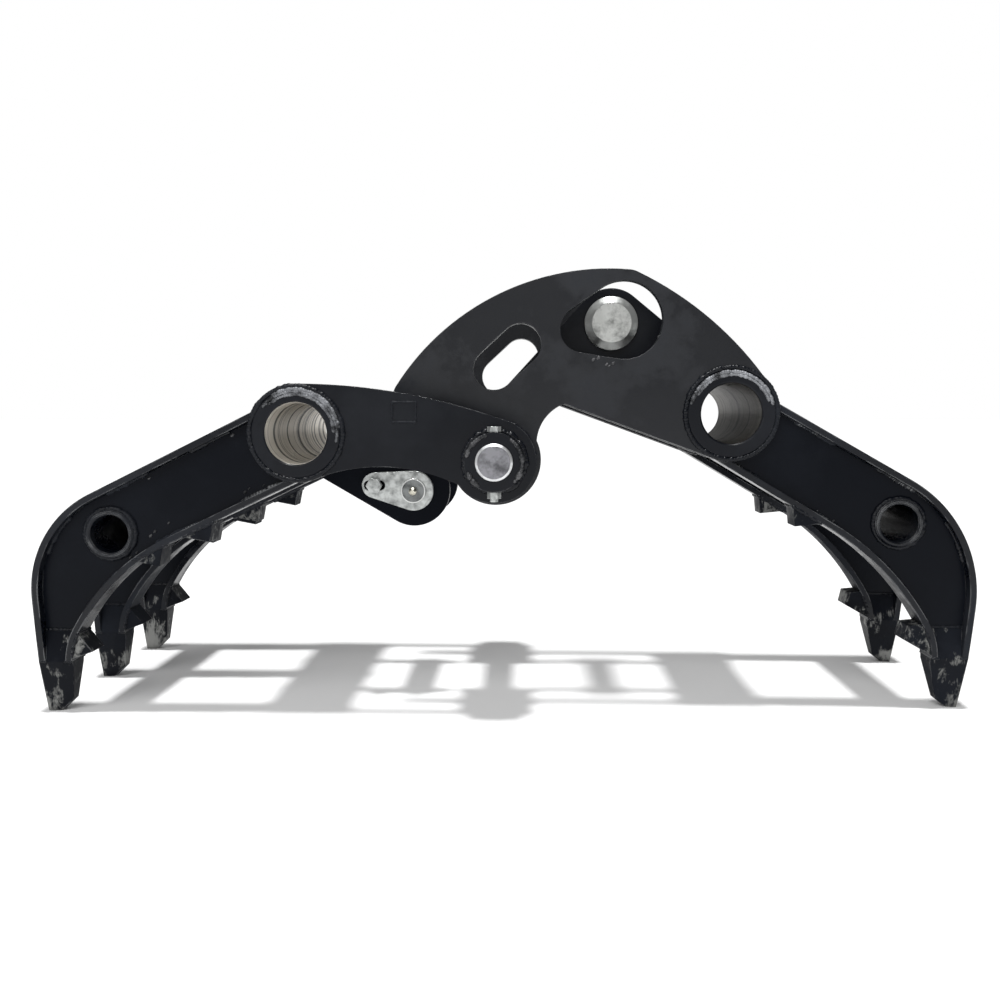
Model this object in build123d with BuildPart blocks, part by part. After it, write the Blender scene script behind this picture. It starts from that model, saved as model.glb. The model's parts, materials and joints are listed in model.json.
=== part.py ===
"""Log grapple with three fixed tines and two moving tines, hinged on one pin.

It stands on its tine tips, mouth down and wide open. X runs from the fixed jaw to the moving jaw,
Y across the grapple, Z up. The origin is on the ground, in the middle of the standing grapple.
"""

import os
from dataclasses import dataclass
from math import cos, radians, sin

from build123d import *

os.makedirs("parts", exist_ok=True)

# Pins and running fits
hinge_pin_radius = 22.5
link_pin_radius = 22.5
stiff_pin_radius = 22.5
pin_clearance = 0.05
face_clearance = 0.3
weld_gap = 0.2

# Where the pins and cross tubes lie, as (x, z)
hinge = (-15.0, 318.0)
link_eye = (132.0, 491.0)
stiff_eye = (-124.0, 275.0)

# Plates and bars
tine_width = 34.0
web_thickness = 12.0
strap_thickness = 8.0
lever_thickness = 12.0
side_plate_thickness = 14.0
ear_thickness = 14.0
fixed_tine_pitch = 150.0
moving_tine_half_pitch = 106.0
ear_gap = 124.0

# Cross tubes
cross_bore_radius = 37.5
cross_tube_wall = 18.0
cross_tube_radius = cross_bore_radius + cross_tube_wall
cross_tube_stand_out = 2.0
tube_chamfer = 2.0
spacer_bore_radius = 24.0
spacer_tube_wall = 6.2
spacer_tube_radius = spacer_bore_radius + spacer_tube_wall
spacer_tube_stand_out = 6.0
boss_land = 4.5

# Tine tips: the straps end at the seam, and a tongue of the tip runs up between them to the web
tip_seam = 66.0
tongue_top = 104.0
tip_foot_width = 15.0
bevel_foot_width = 12.0
bevel_set_back = 12.0

# Teeth on the mouth straps
tooth_width = 32.0
tooth_base = 42.0
tooth_height = 20.0
tooth_lean = 15.0
tooth_root = 2.0
lower_tooth_root = 5.0
lower_tooth_end = 1.5


@dataclass
class Jaw:
    """One tine's outline in the XZ plane, from its cross tube down to its tip, and its teeth.

    Upper teeth: the first one's distance from the throat, how much nearer it is on each tine behind,
    and the step to the next. Lower tooth: its corners inward and up from the heel.
    """

    name: str
    tube: tuple
    spacer: tuple
    shoulder: tuple
    knee: tuple
    belly: tuple
    toe: tuple
    throat: tuple
    gullet: tuple
    chin: tuple
    heel: tuple
    ankle: tuple
    foot: tuple
    side: int
    places: dict
    first_tooth: float
    tooth_lag: float
    tooth_step: float
    tooth_count: int
    tooth_crest: tuple
    tooth_brow: tuple
    tooth_nose: tuple


fixed_jaw = Jaw(
    name="fixed",
    tube=(-256.0, 352.0),
    spacer=(-494.0, 227.0),
    shoulder=(-267.0, 399.0),
    knee=(-515.0, 277.0),
    belly=(-592.0, 145.0),
    toe=(-582.0, 0.0),
    throat=(-247.0, 297.0),
    gullet=(-415.0, 217.0),
    chin=(-535.0, 104.0),
    heel=(-545.0, 60.0),
    ankle=(-550.0, 15.0),
    foot=(-566.0, 0.0),
    side=-1,
    places={"front": -fixed_tine_pitch, "middle": 0.0, "rear": fixed_tine_pitch},
    first_tooth=142.0,
    tooth_lag=17.0,
    tooth_step=70.0,
    tooth_count=2,
    tooth_crest=(8.0, 42.0),
    tooth_brow=(13.5, 35.5),
    tooth_nose=(26.5, 19.0),
)
moving_jaw = Jaw(
    name="moving",
    tube=(278.0, 376.0),
    spacer=(494.0, 238.0),
    shoulder=(290.0, 415.0),
    knee=(505.0, 293.0),
    belly=(591.0, 130.0),
    toe=(577.0, 0.0),
    throat=(237.0, 332.0),
    gullet=(405.0, 232.0),
    chin=(529.0, 104.0),
    heel=(538.0, 60.0),
    ankle=(550.0, 11.0),
    foot=(564.0, 0.0),
    side=1,
    places={"front": -moving_tine_half_pitch, "rear": moving_tine_half_pitch},
    first_tooth=157.0,
    tooth_lag=-14.0,
    tooth_step=70.0,
    tooth_count=1,
    tooth_crest=(9.0, 50.0),
    tooth_brow=(30.0, 48.0),
    tooth_nose=(34.0, 29.5),
)

# Lever plates of the fixed jaw
lever_inner = fixed_tine_pitch + web_thickness / 2
lever_outer = lever_inner + lever_thickness
lever_hinge_radius = 51.0
lever_waist = (-145.0, 311.0)
lever_tube_top_angle = 90.0
lever_tube_low_angle = -72.0
lever_hinge_top_angle = 70.0
lever_hinge_low_angle = 215.0

# Curved side plates of the moving jaw
side_inner = moving_tine_half_pitch + web_thickness / 2
side_outer = side_inner + side_plate_thickness
side_hinge_radius = 57.0
back_arc_middle = (-30.0, 513.0)
back_arc_start = (-148.0, 396.0)
crown = (155.0, 551.5)
brow_middle = (253.0, 489.0)
crotch = (71.0, 388.0)
neck_middle = (45.0, 367.0)
side_heel_angle = 225.0
side_neck_angle = 25.0
side_brow_angle = 20.0
side_crotch_angle = -110.0
heel_corner_radius = 22.0
crown_corner_radius = 28.0
crotch_corner_radius = 7.0
slot_ends = ((16.0, 461.5), (-17.0, 431.0))
slot_radius = 25.7
window_large, window_large_radius = (144.0, 491.0), 48.0
window_small, window_small_radius = (93.6, 479.7), 28.5

# Inner ears
link_ear_radius = 45.0
link_ear_tube_radius = 42.0
link_ear_hinge_radius = 54.0
stiff_ear_radius = 47.0
ear_inner = ear_gap / 2
ear_outer = ear_inner + ear_thickness

# Hinge
bushing_wall = 6.5
bushing_radius = hinge_pin_radius + bushing_wall
hub_wall = 19.0
hub_radius = bushing_radius + hub_wall
washer_thickness = 3.0
washer_radius = 46.0
collar_wall = 13.5
collar_radius = hinge_pin_radius + collar_wall
collar_length = 18.0
pin_stand_out = 6.0
pin_chamfer = 3.0
cross_bolt_radius = 5.0
cross_bolt_clearance = 0.25
cross_bolt_head_radius = 8.5
cross_bolt_head = 6.5
cross_bolt_thread_out = 12.0
nut_height = 8.0

# Link pin and stiff-arm pin
link_head_radius = 34.0
link_head_thickness = 16.0
link_head_chamfer = 9.0
stiff_journal_radius = 16.0
flag_thickness = 8.0
flag_radius = 26.0
flag_tail_radius = 16.6
flag_tail = (-175.0, 282.0)
flag_slot_length = 28.0
flag_slot_width = 13.0
journal_stand_out = 3.0
keeper_bolt_radius = 6.0
keeper_head_radius = 10.5
keeper_head = 7.5
nipple_radius = 5.0
nipple_length = 9.0
far_keeper_radius = 34.0
far_keeper_thickness = 10.0


def on_circle(centre, radius, angle):
    """The point at this angle, in degrees, on a circle in the XZ plane."""
    return (centre[0] + radius * cos(radians(angle)), centre[1] + radius * sin(radians(angle)))


def between(first, second):
    """The upright plane at the larger Y, and the depth down to the smaller Y."""
    return Plane.XZ.offset(-max(first, second)), abs(second - first)


def save(piece, label):
    """Labels a finished piece and writes it."""
    piece.part.label = label
    export_step(piece.part, f"parts/{label}.step")


def outer_edge(jaw):
    """The back of a tine: a straight run, a round knee and a slow curve to the toe."""
    run = Line(jaw.shoulder, jaw.knee)
    bend = TangentArc(jaw.knee, jaw.belly, tangent=run % 1)
    TangentArc(jaw.belly, jaw.toe, tangent=bend % 1)


def inner_edge(jaw):
    """The mouth side of a tine: a straight run, a curve to the chin and a flatter one to the heel."""
    run = Line(jaw.throat, jaw.gullet)
    bend = TangentArc(jaw.gullet, jaw.chin, tangent=run % 1)
    TangentArc(jaw.chin, jaw.heel, tangent=bend % 1)


def outline(jaw):
    """The closed face of a tine, from its back to its mouth side."""
    with BuildLine() as border:
        outer_edge(jaw)
        Polyline(jaw.toe, jaw.foot, jaw.ankle, jaw.heel)
        inner_edge(jaw)
        Line(jaw.throat, jaw.shoulder)
    make_face(border.edges())


def band(jaw, edge, thickness, inward, mode=Mode.ADD):
    """A strip of this thickness that follows one edge of a tine."""
    with BuildLine() as border:
        edge(jaw)
        offset(amount=thickness, side=inward)
    make_face(border.edges(), mode=mode)


def back_side(jaw):
    """The side of the back edge on which the web lies."""
    return Side.LEFT if jaw.side < 0 else Side.RIGHT


def mouth_side(jaw):
    """The side of the mouth edge on which the web lies."""
    return Side.RIGHT if jaw.side < 0 else Side.LEFT


def plate_outline(jaw, clearance=0.0):
    """The plate that laps a jaw's outer tines: the lever plate or the curved side plate."""
    if jaw is fixed_jaw:
        lever_outline(clearance)
    else:
        side_outline(clearance)


def lever_outline(clearance=0.0):
    """A bowed bar from the cross tube to the hinge pin."""
    tube, hub = fixed_jaw.tube, hinge
    tube_radius = cross_tube_radius + boss_land
    top_start = on_circle(tube, tube_radius, lever_tube_top_angle)
    top_end = on_circle(hub, lever_hinge_radius, lever_hinge_top_angle)
    low_start = on_circle(hub, lever_hinge_radius, lever_hinge_low_angle)
    low_end = on_circle(tube, tube_radius, lever_tube_low_angle)
    with BuildLine() as border:
        TangentArc(top_start, top_end, tangent=(1, 0))
        Polyline(top_end, hub, low_start)
        ThreePointArc(low_start, lever_waist, low_end)
        Polyline(low_end, tube, top_start)
    make_face(border.edges())
    with Locations(tube):
        Circle(tube_radius)
    with Locations(hub):
        Circle(lever_hinge_radius)
    if clearance:
        offset(amount=clearance)


def side_outline(clearance=0.0):
    """The curved side plate: hub end, long round back, brow down to the tube, and the crotch."""
    tube, hub = moving_jaw.tube, hinge
    tube_radius = cross_tube_radius + boss_land
    hub_low = on_circle(hub, side_hinge_radius, side_heel_angle)
    neck_end = on_circle(hub, side_hinge_radius, side_neck_angle)
    brow_end = on_circle(tube, tube_radius, side_brow_angle)
    tube_low = on_circle(tube, tube_radius, side_crotch_angle)
    with BuildLine() as border:
        Line(hub_low, back_arc_start)
        ThreePointArc(back_arc_start, back_arc_middle, crown)
        ThreePointArc(crown, brow_middle, brow_end)
        Polyline(brow_end, tube, tube_low, crotch)
        ThreePointArc(crotch, neck_middle, neck_end)
        Polyline(neck_end, hub, hub_low)
    make_face(border.edges())
    with Locations(tube):
        Circle(tube_radius)
    with Locations(hub):
        Circle(side_hinge_radius)
    for corner, radius in (
        (back_arc_start, heel_corner_radius),
        (crown, crown_corner_radius),
        (crotch, crotch_corner_radius),
    ):
        near = vertices().sort_by_distance((corner[0], corner[1], 0))[0]
        fillet(near, radius)
    if clearance:
        offset(amount=clearance)


def tine_web(jaw, y):
    """The flat plate inside a tine, with the cross tube and the spacer tube through it."""
    plane, depth = between(y - web_thickness / 2, y + web_thickness / 2)
    with BuildPart() as web:
        with BuildSketch(plane):
            outline(jaw)
            band(jaw, outer_edge, strap_thickness + weld_gap, back_side(jaw), Mode.SUBTRACT)
            band(jaw, inner_edge, strap_thickness + weld_gap, mouth_side(jaw), Mode.SUBTRACT)
            with Locations(jaw.tube):
                Circle(cross_tube_radius + boss_land)
                Circle(cross_tube_radius + weld_gap, mode=Mode.SUBTRACT)
            with Locations(jaw.spacer):
                Circle(spacer_tube_radius + weld_gap, mode=Mode.SUBTRACT)
        extrude(amount=depth)
        split(bisect_by=Plane.XY.offset(tongue_top + weld_gap), keep=Keep.TOP)
    return web


def strap(jaw, edge, inward, y):
    """A flat bar bent along one edge of a tine, trimmed round the tube and the lapping plate."""
    plane, depth = between(y - tine_width / 2, y + tine_width / 2)
    with BuildPart() as bar:
        with BuildSketch(plane):
            band(jaw, edge, strap_thickness, inward)
            with Locations(jaw.tube):
                Circle(cross_tube_radius + boss_land + weld_gap, mode=Mode.SUBTRACT)
        extrude(amount=depth)
        split(bisect_by=Plane.XY.offset(tip_seam + weld_gap), keep=Keep.TOP)
        if y:
            with BuildSketch(plane):
                plate_outline(jaw, weld_gap)
            extrude(amount=depth, mode=Mode.SUBTRACT)
    return bar


def tip(jaw, y):
    """The point of a tine: a tongue between the straps, and below their ends a bevelled wedge."""
    half_tine = tine_width / 2
    half_foot = tip_foot_width / 2
    plane, depth = between(y - half_tine, y + half_tine)
    with BuildPart() as point:
        with BuildSketch(plane):
            outline(jaw)
            band(jaw, outer_edge, strap_thickness + weld_gap, back_side(jaw), Mode.SUBTRACT)
            band(jaw, inner_edge, strap_thickness + weld_gap, mouth_side(jaw), Mode.SUBTRACT)
        extrude(amount=depth)
        split(bisect_by=Plane.XY.offset(tongue_top), keep=Keep.BOTTOM)
        split(bisect_by=Plane.XY.offset(tip_seam), keep=Keep.TOP)
        with BuildPart():
            with BuildSketch(plane):
                outline(jaw)
            extrude(amount=depth)
            split(bisect_by=Plane.XY.offset(tip_seam), keep=Keep.BOTTOM)
        with BuildSketch(Plane.YZ):
            with BuildLine():
                Polyline(
                    (y - half_foot, 0), (y - half_tine, tip_seam), (y - web_thickness / 2, tongue_top),
                    (y + web_thickness / 2, tongue_top), (y + half_tine, tip_seam), (y + half_foot, 0),
                    close=True,
                )
            make_face()
        extrude(amount=abs(jaw.belly[0]) + tine_width, both=True, mode=Mode.INTERSECT)
        for way in (-1, 1):
            high = Vector(jaw.heel[0] + jaw.side * bevel_set_back, y + way * half_tine, tip_seam)
            end = Vector((jaw.toe[0] + jaw.foot[0]) / 2, y + way * half_foot, 0)
            low = Vector(jaw.ankle[0], y + way * bevel_foot_width / 2, jaw.ankle[1])
            outward = (end - high).cross(low - high)
            if outward.Y * way < 0:
                outward = -outward
            bevel = Plane(origin=high, x_dir=end - high, z_dir=outward)
            split(bisect_by=bevel, keep=Keep.BOTTOM)
    return point


def tooth_on_strap(jaw, y, points):
    """A tooth with this profile, across a tine and trimmed to the face of its mouth strap."""
    plane, depth = between(y - tooth_width / 2, y + tooth_width / 2)
    with BuildPart() as tooth:
        with BuildSketch(plane):
            with BuildLine():
                Polyline(*points, close=True)
            make_face()
            band(jaw, inner_edge, strap_thickness, mouth_side(jaw), Mode.SUBTRACT)
            band(jaw, inner_edge, weld_gap, back_side(jaw), Mode.SUBTRACT)
        extrude(amount=depth)
    return tooth


def upper_tooth(jaw, along, y):
    """A saw tooth whose point leans toward the tip; along is its distance from the throat."""
    down = (Vector(*jaw.gullet) - Vector(*jaw.throat)).normalized()
    out = Vector(-down.Y, down.X) * -jaw.side
    start = Vector(*jaw.throat) + down * (along - tooth_lean)
    corners = (
        start - out * tooth_root,
        start,
        start + down * tooth_lean + out * tooth_height,
        start + down * tooth_base,
        start + down * tooth_base - out * tooth_root,
    )
    return tooth_on_strap(jaw, y, [(corner.X, corner.Y) for corner in corners])


def lower_tooth(jaw, y):
    """The biting tooth at the lower end of the mouth strap."""
    seat = tip_seam - jaw.heel[1] + lower_tooth_end
    corners = (jaw.tooth_crest, jaw.tooth_brow, jaw.tooth_nose, (-lower_tooth_root, seat))
    points = [(jaw.heel[0] - jaw.side * inward, jaw.heel[1] + up) for inward, up in corners]
    return tooth_on_strap(jaw, y, points)


def group(pieces, label):
    """Several equal pieces kept as separate solids in one node."""
    with BuildPart() as several:
        for piece in pieces:
            add(piece.part)
    save(several, label)


def open_tube(centre, radius, bore, half_length, label):
    """A round tube across the grapple, open at both ends."""
    plane, depth = between(-half_length, half_length)
    with BuildPart() as tube:
        with BuildSketch(plane):
            with Locations(centre):
                Circle(radius)
                Circle(bore, mode=Mode.SUBTRACT)
        extrude(amount=depth)
        ends = tube.faces().filter_by(Axis.Y)
        chamfer(ends.edges().filter_by(GeomType.CIRCLE), tube_chamfer)
    save(tube, label)


# Tines of both jaws
for jaw in (fixed_jaw, moving_jaw):
    for place, y in jaw.places.items():
        save(tine_web(jaw, y), f"{jaw.name}_tine_web_{place}")
        save(strap(jaw, outer_edge, back_side(jaw), y), f"{jaw.name}_back_strap_{place}")
        save(strap(jaw, inner_edge, mouth_side(jaw), y), f"{jaw.name}_mouth_strap_{place}")
        save(tip(jaw, y), f"{jaw.name}_tip_{place}")
    upper_teeth = [
        upper_tooth(jaw, jaw.first_tooth - row * jaw.tooth_lag + number * jaw.tooth_step, y)
        for row, y in enumerate(jaw.places.values())
        for number in range(jaw.tooth_count)
    ]
    group(upper_teeth, f"{jaw.name}_upper_teeth")
    group([lower_tooth(jaw, y) for y in jaw.places.values()], f"{jaw.name}_lower_teeth")

# Cross tubes and spacer tubes
open_tube(
    fixed_jaw.tube, cross_tube_radius, cross_bore_radius,
    lever_outer + cross_tube_stand_out, "fixed_cross_tube",
)
open_tube(
    moving_jaw.tube, cross_tube_radius, cross_bore_radius,
    side_outer + cross_tube_stand_out, "moving_cross_tube",
)
open_tube(
    fixed_jaw.spacer, spacer_tube_radius, spacer_bore_radius,
    lever_inner + spacer_tube_stand_out, "fixed_spacer_tube",
)
open_tube(
    moving_jaw.spacer, spacer_tube_radius, spacer_bore_radius,
    side_inner + spacer_tube_stand_out, "moving_spacer_tube",
)

# Lever plates, curved side plates and inner ears, front and rear
hub_outer = lever_inner - 2 * face_clearance - washer_thickness
for place, way in (("front", -1), ("rear", 1)):
    plane, depth = between(way * lever_inner, way * lever_outer)
    with BuildPart() as lever:
        with BuildSketch(plane):
            lever_outline()
            with Locations(fixed_jaw.tube):
                Circle(cross_tube_radius + weld_gap, mode=Mode.SUBTRACT)
            with Locations(hinge):
                Circle(hinge_pin_radius + pin_clearance, mode=Mode.SUBTRACT)
        extrude(amount=depth)
    save(lever, f"lever_plate_{place}")

    plane, depth = between(way * side_inner, way * side_outer)
    with BuildPart() as side_plate:
        with BuildSketch(plane):
            side_outline()
            with Locations(moving_jaw.tube):
                Circle(cross_tube_radius + weld_gap, mode=Mode.SUBTRACT)
            with Locations(hinge):
                Circle(hub_radius + weld_gap, mode=Mode.SUBTRACT)
        extrude(amount=depth)
        with BuildSketch(plane):
            with Locations(*slot_ends):
                Circle(slot_radius)
            make_hull()
        extrude(amount=depth, mode=Mode.SUBTRACT)
        with BuildSketch(plane):
            with Locations(window_large):
                Circle(window_large_radius)
            with Locations(window_small):
                Circle(window_small_radius)
            make_hull()
        extrude(amount=depth, mode=Mode.SUBTRACT)
    save(side_plate, f"side_plate_{place}")

    plane, depth = between(way * ear_inner, way * ear_outer)
    with BuildPart() as link_ear:
        with BuildSketch(plane):
            with Locations(link_eye):
                Circle(link_ear_radius)
            with Locations(moving_jaw.tube):
                Circle(link_ear_tube_radius)
            with Locations(hinge):
                Circle(link_ear_hinge_radius)
            make_hull()
            with Locations(moving_jaw.tube):
                Circle(cross_tube_radius + weld_gap, mode=Mode.SUBTRACT)
            with Locations(hinge):
                Circle(hub_radius + weld_gap, mode=Mode.SUBTRACT)
            with Locations(link_eye):
                Circle(link_pin_radius + pin_clearance, mode=Mode.SUBTRACT)
        extrude(amount=depth)
        with BuildSketch(plane):
            side_outline()
        extrude(amount=depth, mode=Mode.INTERSECT)
    save(link_ear, f"link_ear_{place}")

    with BuildPart() as stiff_ear:
        with BuildSketch(plane):
            with Locations(stiff_eye, fixed_jaw.tube):
                Circle(stiff_ear_radius)
            make_hull()
            with Locations(fixed_jaw.tube):
                Circle(cross_tube_radius + weld_gap, mode=Mode.SUBTRACT)
            with Locations(stiff_eye):
                Circle(stiff_pin_radius + pin_clearance, mode=Mode.SUBTRACT)
            if way < 0:
                with Locations(flag_tail):
                    Circle(keeper_bolt_radius + pin_clearance, mode=Mode.SUBTRACT)
        extrude(amount=depth)
    save(stiff_ear, f"stiff_arm_ear_{place}")

    plane, depth = between(way * ear_inner, way * hub_outer)
    with BuildPart() as hub:
        with BuildSketch(plane):
            with Locations(hinge):
                Circle(hub_radius)
                Circle(bushing_radius + pin_clearance, mode=Mode.SUBTRACT)
        extrude(amount=depth)
    save(hub, f"hinge_hub_{place}")

    with BuildPart() as bushing:
        with BuildSketch(plane):
            with Locations(hinge):
                Circle(bushing_radius)
                Circle(hinge_pin_radius + pin_clearance, mode=Mode.SUBTRACT)
        extrude(amount=depth)
    save(bushing, f"hinge_bushing_{place}")

    washer_inner = hub_outer + face_clearance
    plane, depth = between(way * washer_inner, way * (washer_inner + washer_thickness))
    with BuildPart() as washer:
        with BuildSketch(plane):
            with Locations(hinge):
                Circle(washer_radius)
                Circle(hinge_pin_radius + face_clearance, mode=Mode.SUBTRACT)
        extrude(amount=depth)
    save(washer, f"thrust_washer_{place}")

# Hinge pin, its two collars and the cross bolts through them
pin_half_length = lever_outer + collar_length + pin_stand_out
bolt_places = [way * (lever_outer + collar_length / 2) for way in (-1, 1)]
plane, depth = between(-pin_half_length, pin_half_length)
with BuildPart() as hinge_pin:
    with BuildSketch(plane):
        with Locations(hinge):
            Circle(hinge_pin_radius)
    extrude(amount=depth)
    chamfer(hinge_pin.edges().filter_by(GeomType.CIRCLE), pin_chamfer)
    with BuildSketch(Plane.XY.offset(hinge[1] - collar_radius)):
        with Locations(*[(hinge[0], y) for y in bolt_places]):
            Circle(cross_bolt_radius + cross_bolt_clearance)
    extrude(amount=2 * collar_radius, mode=Mode.SUBTRACT)
save(hinge_pin, "hinge_pin")

for place, way in (("front", -1), ("rear", 1)):
    plane, depth = between(way * lever_outer, way * (lever_outer + collar_length))
    with BuildPart() as collar:
        with BuildSketch(plane):
            with Locations(hinge):
                Circle(collar_radius)
                Circle(hinge_pin_radius + pin_clearance, mode=Mode.SUBTRACT)
        extrude(amount=depth)
        with BuildSketch(Plane.XY.offset(hinge[1] - collar_radius)):
            with Locations((hinge[0], way * (lever_outer + collar_length / 2))):
                Circle(cross_bolt_radius + cross_bolt_clearance)
        extrude(amount=2 * collar_radius, mode=Mode.SUBTRACT)
    save(collar, f"hinge_collar_{place}")

bolt_top = hinge[1] + collar_radius
nut_top = hinge[1] - collar_radius
with BuildPart() as cross_bolts:
    with BuildSketch(Plane.XY.offset(nut_top - cross_bolt_thread_out)):
        with Locations(*[(hinge[0], y) for y in bolt_places]):
            Circle(cross_bolt_radius)
    extrude(amount=2 * collar_radius + cross_bolt_thread_out)
    with BuildSketch(Plane.XY.offset(bolt_top)):
        with Locations(*[(hinge[0], y) for y in bolt_places]):
            RegularPolygon(cross_bolt_head_radius, 6)
    extrude(amount=cross_bolt_head)
save(cross_bolts, "collar_cross_bolts")

with BuildPart() as nuts:
    with BuildSketch(Plane.XY.offset(nut_top - nut_height)):
        with Locations(*[(hinge[0], y) for y in bolt_places]):
            RegularPolygon(cross_bolt_head_radius, 6)
            Circle(cross_bolt_radius + pin_clearance, mode=Mode.SUBTRACT)
    extrude(amount=nut_height)
save(nuts, "collar_nuts")

# Link pin with its round head in front and a bolted keeper disc behind
plane, depth = between(-ear_outer, ear_outer)
with BuildPart() as link_pin:
    with BuildSketch(plane):
        with Locations(link_eye):
            Circle(link_pin_radius)
    extrude(amount=depth)
    with BuildSketch(Plane.XZ.offset(ear_outer)):
        with Locations(link_eye):
            Circle(link_head_radius)
    extrude(amount=link_head_thickness)
    rim = link_pin.edges().filter_by(GeomType.CIRCLE).sort_by(Axis.Y)[0]
    chamfer(rim, link_head_chamfer)
save(link_pin, "link_pin")

plane, depth = between(ear_outer, ear_outer + far_keeper_thickness)
with BuildPart() as link_keeper:
    with BuildSketch(plane):
        with Locations(link_eye):
            Circle(far_keeper_radius)
    extrude(amount=depth)
save(link_keeper, "link_pin_keeper")

# Stiff-arm pin, its flag, the flag's bolt and the grease nipple
flag_outer = ear_outer + flag_thickness
plane, depth = between(-ear_outer, ear_outer + flag_thickness)
with BuildPart() as stiff_pin:
    with BuildSketch(plane):
        with Locations(stiff_eye):
            Circle(stiff_pin_radius)
    extrude(amount=depth)
    with BuildSketch(Plane.XZ.offset(ear_outer)):
        with Locations(stiff_eye):
            Circle(stiff_journal_radius)
    extrude(amount=flag_thickness + journal_stand_out)
save(stiff_pin, "stiff_arm_pin")

plane, depth = between(-ear_outer, -flag_outer)
with BuildPart() as flag:
    with BuildSketch(plane):
        with Locations(stiff_eye):
            Circle(flag_radius)
        with Locations(flag_tail):
            Circle(flag_tail_radius)
        make_hull()
        with Locations(stiff_eye):
            Circle(stiff_journal_radius + pin_clearance, mode=Mode.SUBTRACT)
        with Locations(flag_tail):
            SlotOverall(flag_slot_length, flag_slot_width, mode=Mode.SUBTRACT)
    extrude(amount=depth)
save(flag, "pin_flag")

with BuildPart() as keeper_bolt:
    with BuildSketch(Plane.XZ.offset(ear_inner)):
        with Locations(flag_tail):
            Circle(keeper_bolt_radius)
    extrude(amount=flag_outer - ear_inner)
    with BuildSketch(Plane.XZ.offset(flag_outer)):
        with Locations(flag_tail):
            RegularPolygon(keeper_head_radius, 6)
    extrude(amount=keeper_head)
save(keeper_bolt, "keeper_bolt")

with BuildPart() as nipple:
    with BuildSketch(Plane.XZ.offset(flag_outer + journal_stand_out)):
        with Locations(stiff_eye):
            Circle(nipple_radius)
    extrude(amount=nipple_length)
    tipped = nipple.edges().filter_by(GeomType.CIRCLE).sort_by(Axis.Y)[0]
    chamfer(tipped, nipple_radius / 2)
save(nipple, "grease_nipple")
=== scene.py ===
# %% [markdown]
# # Dressing a log grapple
# The steel frame comes in finished, at its real size. What the workshop and the weather did to it
# is still missing: weld beads, black paint with worn edges, bare pins and machined bores.
# We load the frame first; the boxes of its parts are read from it later.

# %% Load the frame
import json
import math
import bpy
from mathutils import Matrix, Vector


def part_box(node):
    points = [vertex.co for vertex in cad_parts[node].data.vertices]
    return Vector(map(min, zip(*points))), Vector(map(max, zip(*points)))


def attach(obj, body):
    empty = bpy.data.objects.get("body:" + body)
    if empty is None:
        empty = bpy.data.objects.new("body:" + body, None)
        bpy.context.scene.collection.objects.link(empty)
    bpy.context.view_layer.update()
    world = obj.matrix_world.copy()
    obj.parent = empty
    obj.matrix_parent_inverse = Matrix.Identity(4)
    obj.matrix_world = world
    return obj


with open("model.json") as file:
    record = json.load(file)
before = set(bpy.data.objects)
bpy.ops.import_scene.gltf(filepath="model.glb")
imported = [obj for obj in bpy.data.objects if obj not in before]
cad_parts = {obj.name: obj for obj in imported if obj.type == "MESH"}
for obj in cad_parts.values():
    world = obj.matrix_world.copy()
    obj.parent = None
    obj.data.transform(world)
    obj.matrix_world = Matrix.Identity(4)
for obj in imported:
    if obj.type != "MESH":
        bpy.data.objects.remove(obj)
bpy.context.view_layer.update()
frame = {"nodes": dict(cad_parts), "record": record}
NODES = frame["nodes"]
RECORD = frame["record"]

# %% [markdown]
# ## Small helpers for shader nodes
# A material is a graph. Two short helpers keep the graphs readable: one adds a node and sets its
# values, the other links two sockets. A third makes an empty group with named sockets.


# %% Shader helpers
def add_node(tree, kind, **values):
    """Adds a node; a key that names an input sets it, any other sets a property."""
    node = tree.nodes.new(kind)
    for key, value in values.items():
        socket = node.inputs.get(key.replace("_", " ")) if key[0].isupper() else None
        if socket is not None:
            socket.default_value = value
        else:
            setattr(node, key, value)
    return node


def join(tree, first, second):
    """Links an output socket to an input socket."""
    tree.links.new(first, second)


def new_group(name, inputs, outputs):
    """An empty shader group with named sockets; inputs also give a first value."""
    tree = bpy.data.node_groups.new(name, "ShaderNodeTree")
    for label, kind, value in inputs:
        socket = tree.interface.new_socket(name=label, in_out="INPUT", socket_type=kind)
        socket.default_value = value
    for label, kind in outputs:
        tree.interface.new_socket(name=label, in_out="OUTPUT", socket_type=kind)
    start = tree.nodes.new("NodeGroupInput")
    end = tree.nodes.new("NodeGroupOutput")
    return tree, start, end


def use_group(tree, group, **values):
    """Places a group in a material and sets its named inputs."""
    node = tree.nodes.new("ShaderNodeGroup")
    node.node_tree = group
    for key, value in values.items():
        node.inputs[key.replace("_", " ")].default_value = value
    return node


def math_node(tree, operation, first, second=None, clamp=False):
    """A math node whose inputs are sockets or numbers; returns its output."""
    node = add_node(tree, "ShaderNodeMath", operation=operation, use_clamp=clamp)
    for socket, value in zip(node.inputs, (first, second)):
        if value is None:
            continue
        if isinstance(value, (int, float)):
            socket.default_value = value
        else:
            join(tree, value, socket)
    return node.outputs[0]


FLOAT = "NodeSocketFloat"
print("helpers ready, socket kind:", FLOAT)

# %% [markdown]
# ## Edge wear
# Paint goes first where plates have corners, because everything rubs there. The Bevel node gives
# the normal that a rounded edge would have. Where it differs from the real normal there is an edge,
# and noise breaks the line up so that it doesn't look drawn.


# %% Group: edge wear
SPECKLE_GAIN, WEAR_CUT = 16.0, 0.35


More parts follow.
